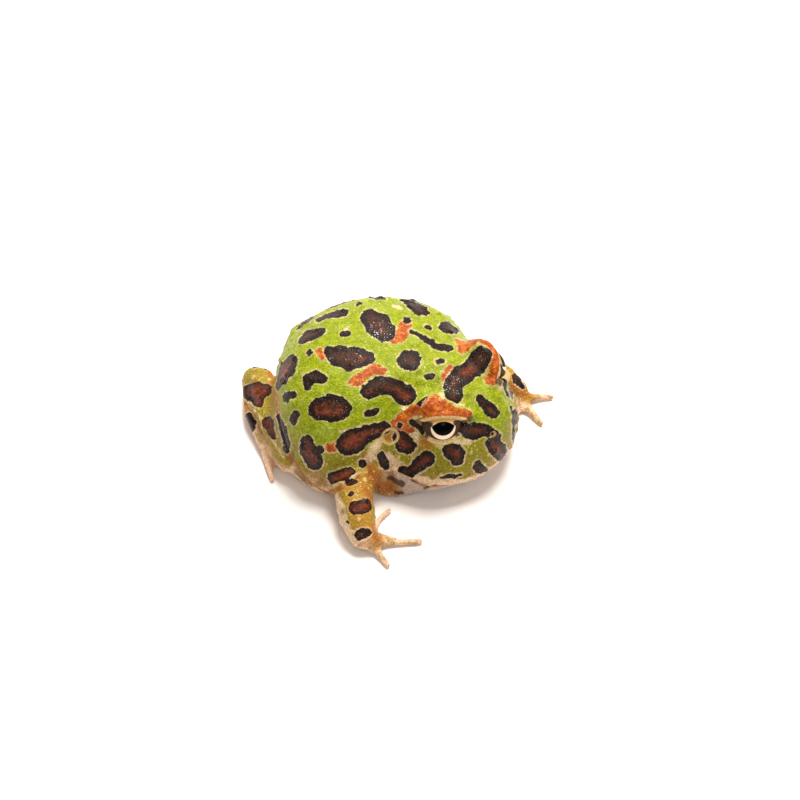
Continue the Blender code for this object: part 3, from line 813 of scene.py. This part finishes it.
class Markings:
    """Distances to markings that are given in the view's pixels, on both sides of the body."""

    DEPTH_SHARE = 0.35
    FAR_SHIFT = np.array((-1.6, -1.3, 0.0))  # from a place's mirror image to its marking
    NOT_HERE = 40.0  # pixels

    def __init__(self, surface, points):
        self.surface, self.points = surface, points
        self.near = depth_scaled(seen(points), self.DEPTH_SHARE)
        flipped = points * np.array((-1.0, 1.0, 1.0)) + self.FAR_SHIFT
        self.far = depth_scaled(seen(flipped), self.DEPTH_SHARE)
        x, y, z = points.T
        turned_away = ease(surface.normals @ np.array(BACK), 0.04, -0.14)
        behind_trunk = ease(z, 11.0, 9.5) * ease(y, -3.0, 0.0)
        self.hidden = np.maximum(turned_away, behind_trunk) * ease(x, 1.0, 5.0)

    def locate(self, x, y):
        return depth_scaled(seen(self.surface.at_pixel(x, y)[None]), self.DEPTH_SHARE)[0]

    def distance(self, chains, both_sides=True):
        """Millimetres, negative inside a marking."""
        gap = chain_gap(self.near, chains, self.locate)
        if both_sides:
            other = chain_gap(self.far, chains, self.locate) + self.NOT_HERE * (1 - self.hidden)
            gap = np.minimum(gap, other)
        return np.clip(gap / PIXELS_PER_MM, -MARK_REACH, MARK_REACH)

    def distance_from(self, look, chains, squeeze):
        """The same for chains in millimetres from another side; squeeze flattens their depth."""
        return chain_gap(self.points * squeeze, chains, lambda a, b: look(a, b) * squeeze)


def store_markings(mesh, surface, points):
    marks = Markings(surface, points)
    blotches = [marks.distance(BACK_BLOTCHES, both_sides=False)]
    blotches += [marks.distance(chains) for chains in (HEAD_BLOTCHES, FLANK_BLOTCHES, LIMB_BLOTCHES)]
    blotches.append(marks.distance_from(surface.from_above, FAR_BACK_BLOTCHES, (1.0, 1.0, 0.35)))
    blotches.append(marks.distance_from(surface.from_left, FAR_CHEEK_BLOTCHES, (0.35, 1.0, 1.0)))
    store(mesh, "blotch", np.clip(np.min(blotches, axis=0), -MARK_REACH, MARK_REACH))
    patches = {"bar": THROAT_BARS, "soft_spot": SOFT_SPOTS, "orange": ORANGE_PATCHES,
               "rust": ARMPIT_PATCHES, "amber": AMBER_PATCHES, "cream": CREAM_PATCHES_AND_HIGHLIGHT}
    for name, chains in patches.items():
        store(mesh, name, marks.distance(chains))


def store_eye_places(mesh, points):
    """Distance to the lids' edge, height above the nearer eye's middle and distance beside it."""
    lid, above, beside = (np.full(len(points), value) for value in (MARK_REACH, 9.0, 0.0))
    for eye in EYES:
        offset, _, s, t = eye.polar(points)
        lid = np.where(eye.holds(offset, 0.3, LIDS_BEYOND), almond_gap(s, t, OPENING), lid)
        close = eye.holds(offset, 0.9, LIDS_BEYOND + 0.2)
        above = np.where(close, offset @ eye.lift, above)
        beside = np.where(close, np.abs(offset @ eye.fore), beside)
    store(mesh, "lid", lid)
    store(mesh, "above_eye", above)
    store(mesh, "beside_eye", beside)


def store_lips(mesh, points, head):
    """0 on the lips, 1 away from them."""
    rise = points[:, 2] - mouth_height(points[:, 1])
    upper, lower = (rise - 0.3) / 1.9, (0.3 - rise) / 0.9
    off_lip = np.where(head > 0.5, np.where(rise > 0.3, upper, lower), 1.0)
    behind = ease(points[:, 1], MOUTH_CORNER[0] - 1, MOUTH_CORNER[0] + 1)
    store(mesh, "lip", np.clip(off_lip + behind, 0, 1))


# ==== shader maths ====


class Value:
    """A shader's number that takes part in sums: Python operators add Math nodes."""

    def __init__(self, paint, socket):
        self.paint, self.socket = paint, socket

    def maths(self, operation, *operands):
        inputs = {i: operand for i, operand in enumerate(operands)}
        return self.paint.node("ShaderNodeMath", {"operation": operation}, inputs)

    def __add__(self, other):
        return self.maths("ADD", self, other)

    def __sub__(self, other):
        return self.maths("SUBTRACT", self, other)

    def __mul__(self, other):
        return self.maths("MULTIPLY", self, other)

    def __rsub__(self, other):
        return self.maths("SUBTRACT", other, self)

    def __abs__(self):
        return self.maths("ABSOLUTE", self)

    __radd__, __rmul__ = __add__, __mul__

    def highest(self, other):
        return self.maths("MAXIMUM", self, other)

    def root(self):
        return self.maths("SQRT", self)

    def wave(self):
        return self.maths("SINE", self)


class Paint:
    """One material in the making."""

    def __init__(self, name):
        self.material = bpy.data.materials.new(name)
        self.material.use_nodes = True
        self.tree = self.material.node_tree
        self.shader = self.tree.nodes["Principled BSDF"]
        self.place = self.node("ShaderNodeTexCoord", output="Object")

    def node(self, kind, settings=None, inputs=None, output=0):
        """Any node: its settings first, then values or links for its sockets."""
        made = self.tree.nodes.new(kind)
        for name, value in (settings or {}).items():
            setattr(made, name, value)
        for name, value in (inputs or {}).items():
            self.feed(made.inputs[name], value)
        return Value(self, made.outputs[output])

    def feed(self, socket, value):
        if isinstance(value, Value):
            self.tree.links.new(value.socket, socket)
        elif hasattr(value, "__len__") and socket.type == "RGBA" and len(value) == 3:
            socket.default_value = (*value, 1.0)
        else:
            socket.default_value = value

    def set(self, **values):
        """Feed the shader's sockets; an underscore stands for a space."""
        for name, value in values.items():
            self.feed(self.shader.inputs[name.replace("_", " ")], value)

    def attribute(self, name):
        return self.node("ShaderNodeAttribute", {"attribute_name": name}, output="Fac")

    def noise(self, width, detail=2.0, roughness=0.5):
        """Noise from 0 to 1 whose lumps are about this many millimetres wide."""
        inputs = {"Vector": self.place, "Scale": 1 / (width * MM), "Detail": detail,
                  "Roughness": roughness}
        return self.node("ShaderNodeTexNoise", {}, inputs, "Fac")

    def cells(self, width):
        """Distance to the middle of the nearest of cells about this many millimetres wide."""
        inputs = {"Vector": self.place, "Scale": 1 / (width * MM)}
        return self.node("ShaderNodeTexVoronoi", {}, inputs, "Distance")

    def step(self, value, start, end):
        """0 at start, 1 at end, smooth between."""
        inputs = {"Value": value, "From Min": start, "From Max": end}
        return self.node("ShaderNodeMapRange", {"interpolation_type": "SMOOTHSTEP"}, inputs, "Result")

    def mix(self, share, first, second, blend="MIX"):
        settings = {"data_type": "RGBA", "blend_type": blend}
        return self.node("ShaderNodeMix", settings, {0: share, 6: first, 7: second}, 2)

    def axis(self, name):
        """One coordinate of the surface, in millimetres."""
        split = self.node("ShaderNodeSeparateXYZ", {}, {"Vector": self.place}, name)
        return split * (1 / MM)

    def along(self, direction, origin):
        """How far a point lies along a direction from an origin, in millimetres."""
        offset = self.node("ShaderNodeVectorMath", {"operation": "SUBTRACT"},
                           {0: self.place, 1: tuple(c * MM for c in origin)})
        length = self.node("ShaderNodeVectorMath", {"operation": "DOT_PRODUCT"},
                           {0: offset, 1: tuple(direction)}, "Value")
        return length * (1 / MM)

    def bump(self, height, depth, normal=None):
        """depth is in millimetres, for a height from 0 to 1."""
        inputs = {"Height": height, "Distance": depth * MM, "Strength": 1.0}
        if normal:
            inputs["Normal"] = normal
        return self.node("ShaderNodeBump", {}, inputs, "Normal")


class SkinPaint(Paint):
    """Moist granular skin: the noises and heights that its layers share, and the layers."""

    def __init__(self, colours):
        super().__init__("skin_finish")
        self.colours = colours
        self.height = self.axis("Z")
        self.patchy, self.broad = self.noise(6.0), self.noise(2.8)
        self.medium, self.fine = self.noise(0.9, 3.0), self.noise(0.26, 3.0, 0.6)
        self.grain = self.cells(0.36)
        self.speckle = self.medium + (self.fine - 0.5) * 0.7
        self.level = self.height + (self.broad - 0.5) * 5 + (self.medium - 0.5) * 4
        self.wobble = (self.broad - 0.5) * 0.9 + (self.medium - 0.5) * 0.7 + (self.fine - 0.5) * 0.3
        self.side = self.step(self.level, 13.0, 9.5)
        self.limb = self.attribute("limb")

    def lay(self, ground, *layers):
        """Lay colours over the ground in turn: colour, value, its start and end, and strength."""
        for colour, value, start, end, *strength in layers:
            share = self.step(value, start, end)
            for factor in strength:
                share = share * factor
            ground = self.mix(share, ground, colour)
        return ground

    def mottled(self, first, second, start, end, strength=1.0):
        return self.lay(first, (second, self.speckle, start, end, strength))

    def ground(self):
        """The back down to the belly, then the limbs, the throat and the lips."""
        c, level, drift = self.colours, self.level, self.medium - 0.5
        back = self.lay(self.mottled(c.leaf, c.lime, 0.4, 0.6),
                        (c.mint, self.broad + (self.fine - 0.5) * 0.4, 0.53, 0.66, 0.6))
        low = level + self.attribute("head") * 0.2
        limb = self.lay(self.mottled(c.gold, c.olive, 0.4, 0.6, 0.9),
                        (c.sand, level, 4.8, 3.4), (c.peach, level, 2.8, 1.4))
        digits = self.lay(c.peach, (c.sand, self.medium, 0.35, 0.65))
        return self.lay(
            self.mix(self.side, back, self.mottled(c.olive, c.bronze, 0.5, 0.72, 0.8)),
            (c.tan, low, 7.4, 5.4, 0.85),
            (c.cream, low, 5.0, 3.2, 0.85),
            (limb, self.limb + drift * 0.4, 0.35, 0.65),
            (limb, self.attribute("foot") + drift * 0.4, 0.4, 0.7),
            (digits, self.attribute("hand") + drift * 0.5, 0.35, 0.75),
            (self.mottled(c.lilac, c.cream, 0.45, 0.7, 0.5), self.attribute("jaw"), 0.3, 0.6),
            # Creases tinted rust: partly the skin's rusty colour, partly painted shade in the folds.
            (c.rust, self.attribute("crease") + drift * 0.6, 0.25, 0.9, 0.75),
            (c.cream, self.attribute("lip") + drift * 0.7, 0.7, 0.35))

    def patches(self, ground):
        """Coloured patches with wavering edges; one of the cream patches is a painted highlight on the
        back.
        """
        c, wobble = self.colours, self.wobble
        amber, cream = self.attribute("amber") + wobble * 1.2, self.attribute("cream") + wobble
        rust, orange = self.attribute("rust") + wobble * 1.6, self.attribute("orange") + wobble * 1.5
        return self.lay(
            ground,
            (c.amber, amber, 0.6, -0.4, 0.9),
            (c.cream, cream, 0.25, -0.35, 0.85),
            (c.amber, rust, 1.0, 0.2, 0.7),
            (c.rust, rust, 0.5, -0.6, 0.85),
            (c.cream, orange, 0.45, 0.2, self.side * 0.4 + 0.25),
            (self.mottled(c.ember, c.orange, 0.42, 0.62), orange, 0.2, -0.15),
            (c.umber, self.attribute("soft_spot") + wobble, 0.35, -0.45, 0.75))

    def round_the_eyes(self, ground):
        """Pale lids with a painted shadow line above the upper lid, and dusky streaks before and behind
        the eye.
        """
        c, step = self.colours, self.step
        lid, above, beside = (self.attribute(name) for name in ("lid", "above_eye", "beside_eye"))
        upper = step(above, 0.2, 0.8)
        # The ember line just above the upper lid is painted shadow under the brow's edge.
        ground = self.lay(ground,
                          (c.cream, lid + self.wobble, 1.0, 0.4, 1 - upper, 0.7),
                          (c.ember, lid, 0.75, 0.5, upper, 0.85),
                          (c.pale_lid, lid + (self.fine - 0.5) * 0.2, 0.42, 0.3))
        lowest = (beside - 2.0) * 0.52 - 1.8
        corner = step(above - lowest + self.wobble * 0.4, -0.2, 0.2) * step(above, 0.9, 0.65)
        corner = corner * step(beside, 1.8, 2.2) * step(beside, 4.9, 4.3)
        streaks = ((above + beside * 0.3 + (self.fine - 0.5) * 0.5) * 12.0).wave()
        dusk = self.lay(c.umber, (c.olive, streaks, 0.0, 1.0, 0.35))
        return self.mix(corner * 0.9, ground, dusk)

    def dots(self):
        """Scattered pale dots, low on the body."""
        scattered = self.step(self.noise(1.7), 0.47, 0.58) * self.step(self.level, 15.0, 11.0)
        return self.step(self.cells(0.7), 0.27, 0.16) * scattered

    def granules(self, ground, dots):
        """Pale dots and tips of warts, and pale tips of granules that are painted highlights."""
        c = self.colours
        ground = self.mix(dots * 0.65, ground, c.pearl)
        tips = self.mix(self.side, c.leaf, c.pearl)
        return self.lay(ground, (tips, self.attribute("tips"), 0.45, 0.9, 0.55),
                        # The pale granule tips below are painted highlights.
                        (c.pearl, self.grain, 0.2, 0.0, 0.1))

    def blotches(self, ground, edge):
        """Dark rims round red-brown middles with painted glints, in a pale halo; edge is the distance
        from the rim.
        """
        c, mix, step = self.colours, self.mix, self.step
        halo = step(edge, 0.36, 0.12) * (step(self.medium, 0.38, 0.6) * 0.35 + self.side * 0.2 + 0.1)
        painted = mix(halo * (1 - self.limb * 0.7), ground, c.cream)
        redness = self.patchy + (self.broad - 0.5) * 0.6 + (17.0 - self.height) * 0.05
        middle = self.lay(c.chestnut, (c.mahogany, redness, 0.42, 0.6),
                          (c.umber, self.speckle, 0.56, 0.4, 0.75),
                          (c.rim, self.cells(1.0), 0.32, 0.18, 0.6))
        core = step(edge + (self.speckle - 0.5) * 1.3 - self.limb * 0.4, -0.4, -1.4)
        # Small pale specks in the middles: painted glints on wet granules.
        painted_glints = step(self.grain, 0.24, 0.1) * step(self.noise(1.6), 0.5, 0.62)
        middle = mix(painted_glints * 0.25, mix(core, c.rim, middle), c.cream)
        return self.lay(painted, (middle, edge, 0.05, -0.07),
                        (c.umber, self.attribute("bar") + self.wobble * 0.6, 0.2, -0.15, 0.85))

    def rings(self, painted):
        """Pale rings round the eardrums and the nostrils, whose holes are painted near-black as painted
        shade.
        """
        c, nostril = self.colours, self.attribute("nostril")
        # The nostrils' near-black middles are painted shade in their holes.
        return self.lay(painted, (c.pale_lid, abs(self.attribute("eardrum")), 0.32, 0.1, 0.85),
                        (c.pale_lid, nostril, 0.62, 0.42, 0.8), (c.rim, nostril, 0.34, 0.22))


def skin_finish(colours):
    paint = SkinPaint(colours)
    step, grain, medium = paint.step, paint.grain, paint.medium
    blotch, dots = paint.attribute("blotch") + paint.wobble, paint.dots()
    painted = paint.round_the_eyes(paint.patches(paint.ground()))
    painted = paint.rings(paint.blotches(paint.granules(painted, dots), blotch))
    # Darker between the granules: painted shade in the gaps, not a colour of the skin.
    painted = paint.mix(step(grain, 0.28, 0.6) * 0.4, painted, (0.35, 0.28, 0.2), "MULTIPLY")
    bumps = paint.bump(1 - step(grain, 0.0, 0.58), 0.09)
    bumps = paint.bump(dots + paint.fine * 0.6 + medium * 0.8, 0.12, bumps)
    wet = step(blotch, 0.1, -0.1) * 0.35 + 0.45
    glossy = step(grain, 0.4, 0.14) * step(paint.speckle, 0.38, 0.6)
    paint.set(Base_Color=painted, Roughness=0.46 + (medium - 0.5) * 0.3, Normal=bumps,
              Specular_IOR_Level=0.1, Coat_Weight=glossy * wet, Coat_Roughness=0.2,
              Subsurface_Weight=0.06, Subsurface_Scale=0.0006, Subsurface_Radius=(1.0, 0.45, 0.25))
    return paint.material


def eye_finish(eye, colours):
    """A pointed oval pupil, gold above, a cream crescent below and a brown bar across."""
    paint = Paint(f"{eye.label}_eye_finish")
    mix, step = paint.mix, paint.step
    s, t = paint.along(eye.fore, eye.centre), paint.along(eye.lift, eye.centre)

    def almond(shape):
        gaps = [(x * x + y * y).root() - radius for x, y, radius in almond_arcs(s, t, *shape)]
        return gaps[0].highest(gaps[1])

    streaks = paint.noise(0.3, 3.0)
    pupil, crescent = almond(PUPIL), almond(CRESCENT)
    iris = mix(step(t + (streaks - 0.5) * 0.6, 0.2, 1.2), colours.iris_cream, colours.iris_gold)
    ripple = ((pupil + (streaks - 0.5) * 0.4) * 20.0).wave()
    brown = mix(step(ripple, 0.0, 1.0) * 0.13, colours.iris_brown, colours.iris_gold)
    bar_edge = t + (streaks - 0.5) * 0.3
    iris = mix(step(bar_edge, 1.15, 0.85) * step(abs(s - PUPIL[0]), 1.3, 1.75), iris, brown)
    iris = mix(step(bar_edge, 0.0, -0.4), iris, brown)
    iris = mix(step(crescent, 0.05, -0.05) * step(t, 0.5, 0.0), iris, colours.iris_cream)
    iris = mix(step(pupil, 0.04, -0.03), iris, (0.0005, 0.0005, 0.0005))
    paint.set(Base_Color=iris, Roughness=0.12, Specular_IOR_Level=0.02, Coat_Weight=0.02,
              Coat_Roughness=0.04)
    return paint.material


def floor_finish():
    """Plain pale cloth-like floor."""
    paint = Paint("floor_finish")
    tone = paint.mix(paint.noise(30.0), *FLOOR_TONES)
    paint.set(Base_Color=tone, Roughness=0.9)
    return paint.material


# ==== operators ====


def rough_skin(sizes):
    """The solids grown together and remeshed, with their facets rounded off and with finer
    faces round the eyes and along the mouth."""
    skin = joined_solids()
    apply_modifier(skin, "DISPLACE", strength=sizes.swell * MM, mid_level=0.0)
    apply_modifier(skin, "REMESH", mode="VOXEL", voxel_size=sizes.grain * MM)
    points = points_of(skin.data) - sizes.swell * normals_of(skin.data)
    set_points(skin.data, points)

    net = Net(skin.data)
    weights = node_weights(skin, net)
    share = np.clip(1 - 0.93 * extremities(weights) - 0.75 * weights["limb"], 0.06, 1)
    reach, share_near_eyes = EYE_ROUNDING
    share[near_eyes(points, reach)] = share_near_eyes
    points = net.smooth(points, sizes.smoothing, net.smooth(share, 4)[:, None])
    set_points(skin.data, points)

    lip = np.abs(points[:, 2] - mouth_height(points[:, 1])) < LIP_BAND
    lip &= (points[:, 1] < MOUTH_CORNER[0] + 1) & (weights["head"] + weights["jaw"] > 0.5)
    refine(skin, near_eyes(points, EYE_REACHES[0]) | lip)
    refine(skin, near_eyes(points_of(skin.data), EYE_REACHES[1]))
    return skin


def extremities(weights):
    return np.clip(weights["hand"] + weights["foot"], 0, 1)


def model_features(skin, sizes):
    """Mouth, nostrils, eardrums, folds, warts and lids, and what the material needs to know."""
    mesh = skin.data
    net = Net(mesh)
    weights = node_weights(skin, net)
    share = 1 - 0.8 * extremities(weights)
    points = net.smooth(points_of(mesh), DETAIL_PASSES, share[:, None])
    set_points(mesh, points)
    surface = Surface(skin)
    head = np.clip(weights["head"] + weights["jaw"], 0, 1)
    body = 1 - np.clip(weights["hand"] + weights["foot"] + 0.6 * weights["jaw"], 0, 1)
    nostrils, eardrums = nostril_gap(surface, points), eardrum_gap(surface, points)
    folds, crease_tint_and_shade = fold_relief(surface, points)
    warts, tips = wart_relief(points, body, sizes)
    relief = mouth_relief(points, head, sizes.lip_depth) + nostril_relief(nostrils)
    relief = (relief + eardrum_relief(eardrums) + folds + warts) * ease(points[:, 2], 0.25, 1.2)
    shaped = shape_lids(points + relief[:, None] * surface.normals, sizes.lid_thickness)
    shaped[:, 2] = np.maximum(shaped[:, 2], 0.0)
    set_points(mesh, shaped)

    store_markings(mesh, surface, points)
    store_eye_places(mesh, points)
    store_lips(mesh, points, head)
    for name, values in {"eardrum": eardrums, "nostril": np.clip(nostrils, 0, MARK_REACH),
                         "tips": tips, "crease": crease_tint_and_shade, **weights}.items():
        store(mesh, name, values)


class HORNEDFROG_OT_skin(bpy.types.Operator):
    """Make the frog's skin from the frame's solids"""

    bl_idname = "hornedfrog.skin"
    bl_label = "Skin"

    def execute(self, context):
        sizes = context.scene.frog_skin
        skin = rough_skin(sizes)
        model_features(skin, sizes)
        triangles = sum(len(polygon.vertices) - 2 for polygon in skin.data.polygons)
        apply_modifier(skin, "DECIMATE", ratio=min(1.0, sizes.triangles / triangles))
        skin.data.materials.append(skin_finish(context.scene.frog_colours))
        make_active(skin)
        bpy.ops.object.shade_smooth()
        flesh = [name for name in frame["nodes"] if not name.endswith("_eye")]
        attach(skin, BODY)
        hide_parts(*flesh)
        return {"FINISHED"}


class HORNEDFROG_OT_eyes(bpy.types.Operator):
    """Make both eyeballs, with a slightly domed front"""

    bl_idname = "hornedfrog.eyes"
    bl_label = "Eyes"

    def execute(self, context):
        for eye in EYES:
            ball = add(bpy.ops.mesh.primitive_ico_sphere_add, f"{eye.label}_eyeball",
                       subdivisions=6, radius=eye.radius * MM, location=eye.centre * MM)
            ball.data.name = ball.name
            bpy.ops.object.transform_apply(location=True, rotation=True, scale=True)
            points = points_of(ball.data)
            offset = points - eye.centre
            facing = offset @ eye.gaze / eye.radius
            dome = 0.06 * ease(facing, 0.72, 0.97)
            set_points(ball.data, points + offset / eye.radius * dome[:, None])
            ball.data.materials.append(eye_finish(eye, context.scene.frog_colours))
            bpy.ops.object.shade_smooth()
            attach(ball, BODY)
            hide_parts(f"{eye.label}_eye")
        return {"FINISHED"}


class HORNEDFROG_OT_stage(bpy.types.Operator):
    """Make the floor, the lamps and the camera"""

    bl_idname = "hornedfrog.stage"
    bl_label = "Stage"

    def add_lamp(self, power, name, place, diameter, tint):
        lamp = add(bpy.ops.object.light_add, name, type="AREA", location=Vector(place) * MM)
        lamp.data.shape = "DISK"
        lamp.data.size = diameter * MM
        lamp.data.energy = power
        lamp.data.color = tint
        lamp.rotation_euler = (Vector(place) - Vector(AIM)).to_track_quat("Z", "Y").to_euler()

    def execute(self, context):
        stage = context.scene.frog_stage
        floor = add(bpy.ops.mesh.primitive_plane_add, "floor", size=stage.floor_size)
        floor.data.materials.append(floor_finish())
        self.add_lamp(stage.lamp_power, *OVERHEAD)
        self.add_lamp(stage.fill_power, *SIDE)
        self.add_lamp(stage.glint_power, *WINDOW)

        world = bpy.data.worlds.new("studio")
        world.use_nodes = True
        sky = world.node_tree.nodes["Background"]
        sky.inputs["Color"].default_value = SKY_TINT
        sky.inputs["Strength"].default_value = stage.sky_strength
        context.scene.world = world
        context.scene.view_settings.view_transform = "Standard"

        place = Vector(AIM) + BACK * VIEW_DISTANCE
        camera = add(bpy.ops.object.camera_add, "camera", location=place * MM,
                     rotation=BACK.to_track_quat("Z", "Y").to_euler())
        camera.data.sensor_width = SENSOR_WIDTH
        camera.data.lens = PIXELS_PER_MM * VIEW_DISTANCE * SENSOR_WIDTH / PICTURE
        camera.data.clip_start = 0.01
        context.scene.camera = camera
        return {"FINISHED"}


class HORNEDFROG_PT_panel(bpy.types.Panel):
    """The frog's pieces, sizes and colours"""

    bl_label = "Horned frog"
    bl_idname = "HORNEDFROG_PT_panel"
    bl_space_type = "VIEW_3D"
    bl_region_type = "UI"
    bl_category = "Horned frog"

    def draw(self, context):
        layout = self.layout
        for group in (context.scene.frog_skin, context.scene.frog_colours, context.scene.frog_stage):
            box = layout.box()
            for name in group.__annotations__:
                box.prop(group, name)
        for operator in OPERATORS:
            layout.operator(operator.bl_idname)


OPERATORS = (HORNEDFROG_OT_skin, HORNEDFROG_OT_eyes, HORNEDFROG_OT_stage)
CLASSES = (FrogSkinSizes, FrogColours, FrogStageSizes, *OPERATORS, HORNEDFROG_PT_panel)


def register():
    for cls in CLASSES:
        bpy.utils.register_class(cls)
    bpy.types.Scene.frog_skin = PointerProperty(type=FrogSkinSizes)
    bpy.types.Scene.frog_colours = PointerProperty(type=FrogColours)
    bpy.types.Scene.frog_stage = PointerProperty(type=FrogStageSizes)


def unregister():
    del bpy.types.Scene.frog_skin, bpy.types.Scene.frog_colours, bpy.types.Scene.frog_stage
    for cls in reversed(CLASSES):
        bpy.utils.unregister_class(cls)


def main():
    register()
    bpy.ops.hornedfrog.skin()
    bpy.ops.hornedfrog.eyes()
    bpy.ops.hornedfrog.stage()


if __name__ == "__main__":
    main()
